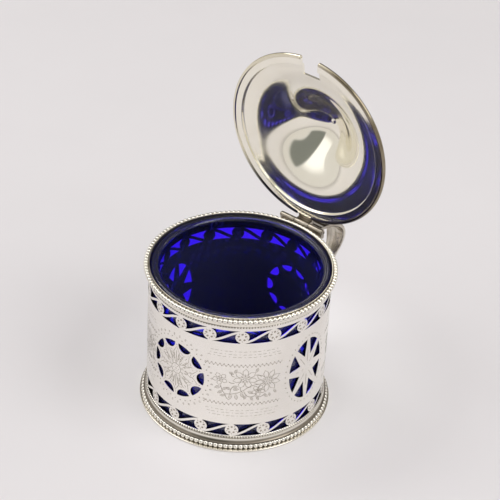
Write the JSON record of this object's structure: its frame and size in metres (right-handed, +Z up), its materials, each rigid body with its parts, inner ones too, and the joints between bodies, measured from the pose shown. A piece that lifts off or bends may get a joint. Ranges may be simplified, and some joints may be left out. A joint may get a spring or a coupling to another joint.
{
  "type": "mustard pot",
  "caption": "Drum-shaped silver mustard pot with pierced bands and medallions, beaded rim and foot, strap handle, hinged domed lid with a spoon notch, and a lift-out blue glass liner.",
  "frame": {"origin": "centre of the base plate's underside, on the table", "axes": "+Z up, spoon notch and front at -Y, handle and hinge at +Y, hinge pin along X"},
  "size_m": [0.07, 0.0943, 0.126],
  "materials": {
    "silver_plain": "polished silver",
    "silver_engraved": "polished silver, pierced and engraved",
    "silver_trim": "polished silver with darker hollows",
    "cobalt_glass": "thick polished cobalt blue glass"
  },
  "bodies": {
    "pot": {"base_plate": "silver_plain", "drum_wall": "silver_engraved", "foot_beading": "silver_trim", "foot_cove": "silver_plain", "foot_milled_wire": "silver_trim", "rim_band": "silver_plain", "rim_beading": "silver_trim", "rim_milled_wire": "silver_trim", "hinge_bracket": "silver_plain", "hinge_body_knuckles": "silver_plain", "hinge_pin": "silver_plain", "handle_strap": "silver_plain", "handle_lower_pad": "silver_plain"},
    "liner": {"glass_liner": "cobalt_glass"},
    "lid": {"lid_shell": "silver_plain", "lid_edge_wire": "silver_trim", "hinge_lid_leaf": "silver_plain", "hinge_lid_knuckle": "silver_plain", "finial": "silver_plain", "finial_rivet": "silver_plain"}
  },
  "joints": [
    {"name": "lid_hinge", "type": "hinge", "parent": "pot", "child": "lid", "pos_m": [0, 0.03561, 0.057], "axis": [1, 0, 0], "range_deg": [0, 86.5]},
    {"name": "liner_lift", "type": "slide", "parent": "pot", "child": "liner", "axis": [0, 0, 1], "range_m": [0, 0.084]}
  ]
}
